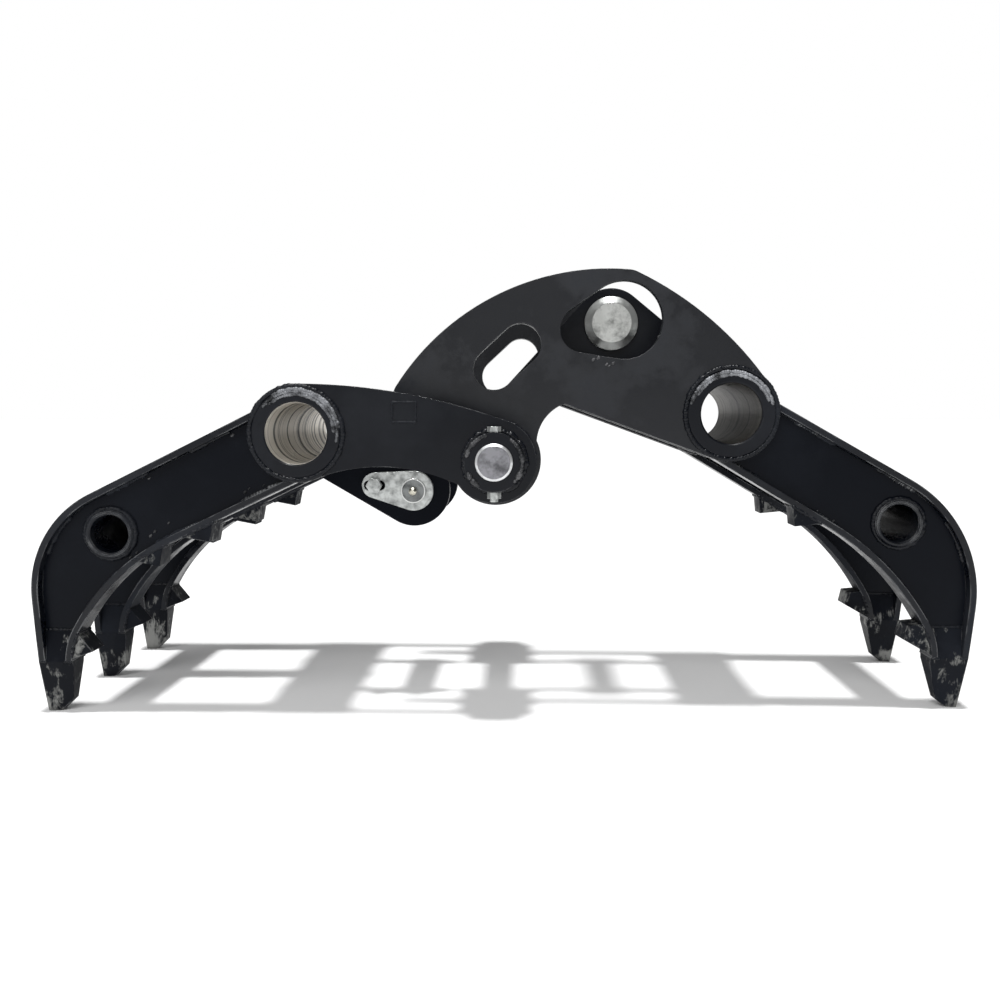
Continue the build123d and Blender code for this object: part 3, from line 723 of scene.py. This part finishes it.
TUBE_BEAD, TUBE_SPACING, TUBE_OFFSET = 0.0034, 0.0042, 0.0015
fixed_centre, fixed_radius = axis_of("fixed_cross_tube"), radius_of("fixed_cross_tube")
fixed_planes = [*both_sides("lever_plate_front"), *both_sides("fixed_tine_web_front", False)]
fixed_planes += faces_of("fixed_tine_web_middle")
fixed_planes += [*both_sides("stiff_arm_ear_front"), *both_sides("stiff_arm_ear_front", False)]
lay_beads(
    "fixed_tube_welds", "fixed_jaw",
    [ring(fixed_centre, fixed_radius + TUBE_OFFSET, y) for y in fixed_planes],
    TUBE_BEAD, TUBE_BEAD, TUBE_SPACING, seed=3,
)
moving_centre, moving_radius = axis_of("moving_cross_tube"), radius_of("moving_cross_tube")
moving_planes = [*both_sides("side_plate_front"), *both_sides("moving_tine_web_front", False)]
moving_planes += [*both_sides("link_ear_front"), *both_sides("link_ear_front", False)]
lay_beads(
    "moving_tube_welds", "moving_jaw",
    [ring(moving_centre, moving_radius + TUBE_OFFSET, y) for y in moving_planes],
    TUBE_BEAD, TUBE_BEAD, TUBE_SPACING, seed=5,
)

# %% Spacer tube and hub rings
RING_OFFSET = 0.0012
SPACER_BEAD, SPACER_SPACING = 0.0036, 0.0046
HUB_BEAD, HUB_SPACING = 0.0030, 0.0040
COLLAR_WIDTH, COLLAR_HEIGHT, COLLAR_SPACING = 0.0042, 0.0040, 0.0048
COLLAR_START, COLLAR_END = 100, 440
for jaw in ("fixed", "moving"):
    centre, radius = axis_of(jaw + "_spacer_tube"), radius_of(jaw + "_spacer_tube")
    planes = [*both_sides(jaw + "_tine_web_front"), *both_sides(jaw + "_tine_web_front", False)]
    if jaw == "fixed":
        planes += faces_of("fixed_tine_web_middle")
    rings = [ring(centre, radius + RING_OFFSET, y, steps=48) for y in planes]
    name = jaw + "_spacer_welds"
    lay_beads(
        name, jaw + "_jaw", rings, SPACER_BEAD, SPACER_BEAD, SPACER_SPACING, seed=11, wobble=0.28
    )
hub_centre, hub_radius = axis_of("hinge_hub_front"), radius_of("hinge_hub_front")
hub_planes = [*both_sides("side_plate_front"), *both_sides("side_plate_front", False)]
hub_planes += both_sides("link_ear_front")
lay_beads(
    "hub_welds", "moving_jaw",
    [ring(hub_centre, hub_radius + RING_OFFSET, y, steps=60) for y in hub_planes],
    HUB_BEAD, HUB_BEAD, HUB_SPACING, seed=17,
)
collar_radius = radius_of("hinge_collar_front")
collar_planes = both_sides("lever_plate_front")
lay_beads(
    "collar_welds", "fixed_jaw",
    [
        ring(hub_centre, collar_radius + RING_OFFSET, y, COLLAR_START, COLLAR_END, steps=48)
        for y in collar_planes
    ],
    COLLAR_WIDTH, COLLAR_HEIGHT, COLLAR_SPACING, seed=23, wobble=0.35,
)

# %% [markdown]
# ## Stitch welds along the tines
# The straps are held to the webs by short stitches, not by one long bead. The straps follow a
# straight run and tangent arcs, so we write the same few corner points and step along that line.

# %% Tine lines
TINES = {
    "fixed": {
        "body": "fixed_jaw",
        "turn": 1,
        "back": ((-0.267, 0.399), (-0.515, 0.277), (-0.592, 0.145), (-0.582, 0.0)),
        "mouth": ((-0.247, 0.297), (-0.415, 0.217), (-0.535, 0.104), (-0.545, 0.060)),
        "rows": ("front", "middle", "rear"),
        "upper_teeth": ((0.142, 0.212), (0.125, 0.195), (0.108, 0.178)),
    },
    "moving": {
        "body": "moving_jaw",
        "turn": -1,
        "back": ((0.290, 0.415), (0.505, 0.293), (0.591, 0.130), (0.577, 0.0)),
        "mouth": ((0.237, 0.332), (0.405, 0.232), (0.529, 0.104), (0.538, 0.060)),
        "rows": ("front", "rear"),
        "upper_teeth": ((0.157,), (0.171,)),
    },
}
STRAP = 0.008
STEP = 0.004


def arc_from(start, heading, end):
    """Points along the arc that leaves start in the heading and ends at end, and its last heading."""
    chord = end - start
    side = heading.x * chord.y - heading.y * chord.x
    radius = chord.length_squared / (2 * side)
    centre = start + Vector((-heading.y, heading.x)) * radius
    sweep = 2 * math.atan2(side, heading.dot(chord))
    count = max(2, int(abs(radius * sweep) / STEP))
    points, arm = [], start - centre
    for index in range(1, count + 1):
        angle = sweep * index / count
        turned = Vector((
            arm.x * math.cos(angle) - arm.y * math.sin(angle),
            arm.x * math.sin(angle) + arm.y * math.cos(angle),
        ))
        points.append(centre + turned)
    last = Vector((
        heading.x * math.cos(sweep) - heading.y * math.sin(sweep),
        heading.x * math.sin(sweep) + heading.y * math.cos(sweep),
    ))
    return points, last


def tine_line(corners):
    """Evenly stepped points along a straight run and the tangent arcs after it."""
    corners = [Vector(c) for c in corners]
    run = corners[1] - corners[0]
    heading = run.normalized()
    count = int(run.length / STEP)
    points = [corners[0] + run * (index / count) for index in range(count + 1)]
    for corner in corners[2:]:
        more, heading = arc_from(points[-1], heading, corner)
        points += more
    return points


def shifted(points, distance):
    """The same line moved sideways, to the left of its travel."""
    moved = []
    for index, point in enumerate(points):
        ahead = points[min(index + 1, len(points) - 1)]
        behind = points[max(index - 1, 0)]
        travel = (ahead - behind).normalized()
        moved.append(point + Vector((-travel.y, travel.x)) * distance)
    return moved


def stitches(line, y, first, length, gap, top):
    """Cuts a line into stitches at this Y, leaving out what lies below the tine's tip."""
    run = [(p.x, y, p.y) for p in line if p.y > top]
    paths, index = [], first
    while index + length < len(run):
        paths.append(run[index:index + length])
        index += length + gap
    return paths


print("tine lines:", {jaw: len(tine_line(t["back"])) for jaw, t in TINES.items()})

# %% Lay the stitches
STITCH_WELD = black_paint("Stitch weld", wear=2.2, dust=2.0, rough=0.10)
STITCH, STITCH_GAP = 14, 15
STITCH_BEAD, STITCH_SPACING = 0.0030, 0.0040
BACK_FIRST, BACK_LATER = 22, 3
MOUTH_FIRST, MOUTH_LATER = 8, 2
TIP_TOP = 0.112
for jaw, tine in TINES.items():
    back = shifted(tine_line(tine["back"]), tine["turn"] * STRAP)
    mouth = shifted(tine_line(tine["mouth"]), -tine["turn"] * STRAP)
    paths = []
    for number, row in enumerate(tine["rows"]):
        for y in faces_of(f"{jaw}_tine_web_{row}"):
            first = BACK_FIRST + BACK_LATER * number
            paths += stitches(back, y, first, STITCH, STITCH_GAP, TIP_TOP)
            first = MOUTH_FIRST + MOUTH_LATER * number
            paths += stitches(mouth, y, first, STITCH, STITCH_GAP, TIP_TOP)
    name = jaw + "_strap_stitches"
    lay_beads(
        name, tine["body"], paths, STITCH_BEAD, STITCH_BEAD, STITCH_SPACING,
        seed=31, wobble=0.35, material=STITCH_WELD,
    )

# %% [markdown]
# ## Beads at the tips
# A tongue of each tip runs up between the straps, and below their ends the tip is as wide as the
# tine. So there is one bead where the tongue meets the web, and one round the end of each strap.

# %% Tip seams
TONGUE_TOP, STRAP_END, HALF_TINE = 0.105, 0.066, 0.0168
SEAM_INSET = 0.25
SEAM_BEAD, SEAM_SPACING = 0.0016, 0.0026


def x_at(points, height):
    """The X of a tine line where it passes this height."""
    return min(points, key=lambda point: abs(point.y - height)).x


for jaw, tine in TINES.items():
    lines = {"back": tine_line(tine["back"]), "mouth": tine_line(tine["mouth"])}
    turn = tine["turn"]
    inner = {
        "back": shifted(lines["back"], turn * STRAP),
        "mouth": shifted(lines["mouth"], -turn * STRAP),
    }
    seams = []
    for row in tine["rows"]:
        low, high = faces_of(f"{jaw}_tine_web_{row}")
        ends = x_at(inner["back"], TONGUE_TOP), x_at(inner["mouth"], TONGUE_TOP)
        seams += [[(x, y, TONGUE_TOP) for x in ends] for y in (low, high)]
        middle = (low + high) / 2
        for edge in ("back", "mouth"):
            outer_x, inner_x = x_at(lines[edge], STRAP_END), x_at(inner[edge], STRAP_END)
            ends = outer_x + (inner_x - outer_x) * SEAM_INSET, inner_x
            for y in (middle - HALF_TINE, middle + HALF_TINE):
                seams.append([(x, y, STRAP_END) for x in ends])
    name = jaw + "_tip_seams"
    lay_beads(name, tine["body"], seams, SEAM_BEAD, SEAM_BEAD, SEAM_SPACING, seed=41, wobble=0.35)

# %% [markdown]
# ## Beads at the teeth
# A bead runs all round the foot of every upper tooth; these stand on the straight run, at known
# distances from the throat. For the lower teeth a bead runs down each side, along the curve of the strap to
# its end.

# %% Tooth seams
TOOTH_HALF, TOOTH_ABOVE, TOOTH_BELOW = 0.0158, 0.015, 0.027
LOWER_TOOTH_FOOT = (0.069, 0.101)
TOOTH_BEAD, TOOTH_SPACING = 0.0022, 0.0031
for jaw, tine in TINES.items():
    throat, gullet = Vector(tine["mouth"][0]), Vector(tine["mouth"][1])
    down = (gullet - throat).normalized()
    strap_line = tine_line(tine["mouth"])
    seams = []
    for row, starts in zip(tine["rows"], tine["upper_teeth"]):
        low, high = faces_of(f"{jaw}_tine_web_{row}")
        left, right = (low + high) / 2 - TOOTH_HALF, (low + high) / 2 + TOOTH_HALF
        for along in starts:
            top, end = throat + down * (along - TOOTH_ABOVE), throat + down * (along + TOOTH_BELOW)
            corners = ((top, left), (top, right), (end, right), (end, left), (top, left))
            seams.append([(point.x, y, point.y) for point, y in corners])
        foot = [p for p in strap_line if LOWER_TOOTH_FOOT[0] < p.y < LOWER_TOOTH_FOOT[1]]
        seams += [[(p.x, y, p.y) for p in foot] for y in (left, right)]
    name = jaw + "_tooth_seams"
    lay_beads(name, tine["body"], seams, TOOTH_BEAD, TOOTH_BEAD, TOOTH_SPACING, seed=47, wobble=0.35)

# %% [markdown]
# ## Bare weld on the rims
# The end rims of the tubes and of the hinge collars are run over with bare weld. It is rough and light, and
# it fades into soot, so it needs a material of its own.
# On the tube ends the light weld lies only on the upper arcs, where the light from above falls: it is
# partly real bare weld and partly a painted highlight.


# %% Bare weld material
WELD_METAL, WELD_ROUGH = 0.35, 0.45


def bare_weld(name, bright, soot=(0.006, 0.007, 0.009, 1.0)):
    """Light rough weld that breaks up into soot."""
    material, tree, shader = new_material(name)
    place = add_node(tree, "ShaderNodeTexCoord")
    patches = add_node(tree, "ShaderNodeTexNoise", Scale=26.0, Detail=7.0, Roughness=0.74)
    join(tree, place.outputs["Object"], patches.inputs["Vector"])
    ramp = add_node(tree, "ShaderNodeMapRange", From_Min=0.36, From_Max=0.56)
    join(tree, patches.outputs["Fac"], ramp.inputs["Value"])
    join(tree, mix_colour(tree, ramp.outputs["Result"], bright, soot), shader.inputs["Base Color"])
    shader.inputs["Metallic"].default_value = WELD_METAL
    shader.inputs["Roughness"].default_value = WELD_ROUGH
    bump = add_node(tree, "ShaderNodeBump", Strength=0.5, Distance=0.0006)
    join(tree, patches.outputs["Fac"], bump.inputs["Height"])
    join(tree, bump.outputs["Normal"], shader.inputs["Normal"])
    return material


RIM_WELD_WITH_HIGHLIGHT = bare_weld("Bare rim weld", (0.29, 0.30, 0.32, 1.0))
SOOTY_WELD = bare_weld("Sooty weld", (0.10, 0.10, 0.105, 1.0))
print("bare welds ready")

# %% Rim beads
RIM_BEAD, RIM_SPACING = 0.0023, 0.0030
COLLAR_RIM_BEAD, COLLAR_RIM_SPACING, COLLAR_RIM_RADIUS = 0.0026, 0.0034, 0.0335
# The tube-rim arcs cover only the upper side, so their light bare weld is partly a painted highlight of the
# light from above.
FIXED_RIM_LIT_ARCS = ((0.0470, 5, 130), (0.0505, -10, 140), (0.0535, 10, 120))
MOVING_RIM_LIT_ARCS = ((0.0480, 20, 150), (0.0515, 15, 165))
COLLAR_ARCS = ((110, 165), (205, 235), (318, 412))
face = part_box("fixed_cross_tube")[0].y
rim_arcs = []
for radius, first, last in FIXED_RIM_LIT_ARCS:
    rim_arcs += [ring(fixed_centre, radius, y, first, last) for y in (face, -face)]
lay_beads(
    "fixed_rim_welds", "fixed_jaw", rim_arcs, RIM_BEAD, RIM_BEAD, RIM_SPACING,
    seed=53, wobble=0.3, material=RIM_WELD_WITH_HIGHLIGHT,
)
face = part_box("moving_cross_tube")[0].y
rim_arcs = []
for radius, first, last in MOVING_RIM_LIT_ARCS:
    rim_arcs += [ring(moving_centre, radius, y, first, last) for y in (face, -face)]
lay_beads(
    "moving_rim_welds", "moving_jaw", rim_arcs, RIM_BEAD, RIM_BEAD, RIM_SPACING,
    seed=59, wobble=0.3, material=RIM_WELD_WITH_HIGHLIGHT,
)
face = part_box("hinge_collar_front")[0].y
rim_arcs = []
for first, last in COLLAR_ARCS:
    rim_arcs += [ring(hub_centre, COLLAR_RIM_RADIUS, y, first, last, 30) for y in (face, -face)]
lay_beads(
    "collar_rim_welds", "fixed_jaw", rim_arcs,
    COLLAR_RIM_BEAD, COLLAR_RIM_BEAD, COLLAR_RIM_SPACING, seed=61, wobble=0.45, material=SOOTY_WELD,
)

# %% [markdown]
# ## The small rectangle on the front lever plate
# A thin bead in the shape of a rectangle sits near the middle of this plate, perhaps the trace of a
# bracket. It is painted over, so it takes the weld paint.

# %% Rectangle bead
MARK_LOW, MARK_HIGH = (-0.1385, 0.3657), (-0.1097, 0.3897)
MARK_BEAD, MARK_SPACING = 0.0013, 0.0019
lever_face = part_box("lever_plate_front")[0].y
mark = [
    (x, lever_face, z)
    for x, z in (
        MARK_LOW, (MARK_HIGH[0], MARK_LOW[1]), MARK_HIGH, (MARK_LOW[0], MARK_HIGH[1]), MARK_LOW,
    )
]
lay_beads(
    "lever_mark", "fixed_jaw", [mark], MARK_BEAD, MARK_BEAD, MARK_SPACING, seed=71, wobble=0.3
)

# %% [markdown]
# ## Spatter
# Small drops of weld flew off and stuck. Each is a bead of one puddle, on the plate it landed on.

# %% Spatter drops
FIXED_WEB_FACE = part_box("fixed_tine_web_front")[0].y
MOVING_WEB_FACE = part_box("moving_tine_web_front")[0].y
SIDE_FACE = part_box("side_plate_front")[0].y
DROP_RUN = 0.0012
DROP_WIDTH, DROP_HEIGHT, DROP_SPACING = 0.0013, 0.0011, 0.0016
SPATTER = {
    "fixed_jaw": (
        (-0.324, 0.279, FIXED_WEB_FACE), (-0.319, 0.283, FIXED_WEB_FACE), (-0.301, 0.287, FIXED_WEB_FACE),
        (-0.444, 0.224, FIXED_WEB_FACE), (-0.439, 0.229, FIXED_WEB_FACE), (-0.421, 0.240, FIXED_WEB_FACE),
        (-0.453, 0.300, FIXED_WEB_FACE), (-0.443, 0.296, FIXED_WEB_FACE), (-0.358, 0.345, FIXED_WEB_FACE),
        (-0.338, 0.349, FIXED_WEB_FACE), (-0.462, 0.203, FIXED_WEB_FACE), (-0.470, 0.197, FIXED_WEB_FACE),
    ),
    "moving_jaw": (
        (0.377, 0.256, MOVING_WEB_FACE), (0.391, 0.252, MOVING_WEB_FACE), (0.412, 0.240, MOVING_WEB_FACE),
        (0.106, 0.442, SIDE_FACE), (0.1115, 0.4435, SIDE_FACE), (0.122, 0.436, SIDE_FACE),
        (0.1305, 0.4375, SIDE_FACE), (0.126, 0.434, SIDE_FACE), (0.186, 0.470, SIDE_FACE),
    ),
}
for body, places in SPATTER.items():
    drops = [[(x, y, z), (x + DROP_RUN, y, z + DROP_RUN)] for x, z, y in places]
    name = body + "_spatter"
    lay_beads(
        name, body, drops, DROP_WIDTH, DROP_HEIGHT, DROP_SPACING,
        seed=67, wobble=0.5, material=SOOTY_WELD,
    )

# %% [markdown]
# ## Floor, light and camera
# The grapple stands on a pale studio floor that fades into white. A narrow, strong sun almost straight
# above throws the plan of the tines and tubes on the floor. A large soft light lifts the front.
# The camera's place was worked out from how fast the tines shrink with distance.


# %% Floor and world
FLOOR_REACH = 40.0
FLOOR_GREY = (0.90, 0.90, 0.90, 1.0)
FLOOR_ROUGH, FLOOR_SPECULAR = 0.75, 0.2


def studio_floor():
    """A large plain pale floor, not part of the object."""
    mesh = bpy.data.meshes.new("studio_floor")
    far = FLOOR_REACH
    corners = [(-far, -far, 0), (far, -far, 0), (far, far, 0), (-far, far, 0)]
    mesh.from_pydata(corners, [], [(0, 1, 2, 3)])
    floor = bpy.data.objects.new("studio_floor", mesh)
    bpy.context.scene.collection.objects.link(floor)
    material, _, shader = new_material("Pale floor")
    shader.inputs["Base Color"].default_value = FLOOR_GREY
    shader.inputs["Roughness"].default_value = FLOOR_ROUGH
    shader.inputs["Specular IOR Level"].default_value = FLOOR_SPECULAR
    mesh.materials.append(material)


studio_floor()
world = bpy.data.worlds.new("Studio")
bpy.context.scene.world = world
world.use_nodes = True
SEEN_STRENGTH, ROOM_STRENGTH = 1.0, 0.35
backdrop = world.node_tree.nodes["Background"]
backdrop.inputs["Color"].default_value = (1.0, 1.0, 1.0, 1.0)
ray_kind = add_node(world.node_tree, "ShaderNodeLightPath")
seen = add_node(world.node_tree, "ShaderNodeMapRange")
seen.inputs["To Min"].default_value = ROOM_STRENGTH
seen.inputs["To Max"].default_value = SEEN_STRENGTH
join(world.node_tree, ray_kind.outputs["Is Camera Ray"], seen.inputs["Value"])
join(world.node_tree, seen.outputs["Result"], backdrop.inputs["Strength"])
print("floor and world ready")


# %% Lights
def soft_light(name, place, target, width, height, power):
    """A large area light that looks at a target."""
    data = bpy.data.lights.new(name, "AREA")
    data.shape = "RECTANGLE"
    data.size, data.size_y = width, height
    data.energy = power
    light = bpy.data.objects.new(name, data)
    light.location = place
    light.rotation_euler = (Vector(target) - Vector(place)).to_track_quat("-Z", "Y").to_euler()
    bpy.context.scene.collection.objects.link(light)


FILL_PLACE, FILL_TARGET = (-0.9, -2.3, 2.5), (0, 0, 0.3)
FILL_WIDTH, FILL_HEIGHT, FILL_POWER = 3.0, 2.0, 60
soft_light("front_fill", FILL_PLACE, FILL_TARGET, FILL_WIDTH, FILL_HEIGHT, FILL_POWER)
KEY_STRENGTH, KEY_ANGLE, KEY_TILT = 2.9, 4.5, 2.0
sun_data = bpy.data.lights.new("key_above", "SUN")
sun_data.energy = KEY_STRENGTH
sun_data.angle = math.radians(KEY_ANGLE)
sun = bpy.data.objects.new("key_above", sun_data)
sun.rotation_euler = (math.radians(KEY_TILT), 0.0, 0.0)
bpy.context.scene.collection.objects.link(sun)

# %% Camera
CAMERA_PLACE = (0.0206, -1.2551, 0.3777)
CAMERA_YAW, CAMERA_PITCH = 1.52, 5.58
FOCAL_PIXELS, FRAME_PIXELS, SENSOR = 900.0, 1000.0, 36.0
camera_data = bpy.data.cameras.new("Camera")
camera_data.sensor_width = SENSOR
camera_data.lens = SENSOR * FOCAL_PIXELS / FRAME_PIXELS
camera = bpy.data.objects.new("Camera", camera_data)
camera.location = CAMERA_PLACE
camera.rotation_euler = (math.radians(90 - CAMERA_PITCH), 0.0, math.radians(CAMERA_YAW))
bpy.context.scene.collection.objects.link(camera)
bpy.context.scene.camera = camera
bpy.context.scene.view_settings.view_transform = "Standard"
print("lens:", round(camera_data.lens, 2))
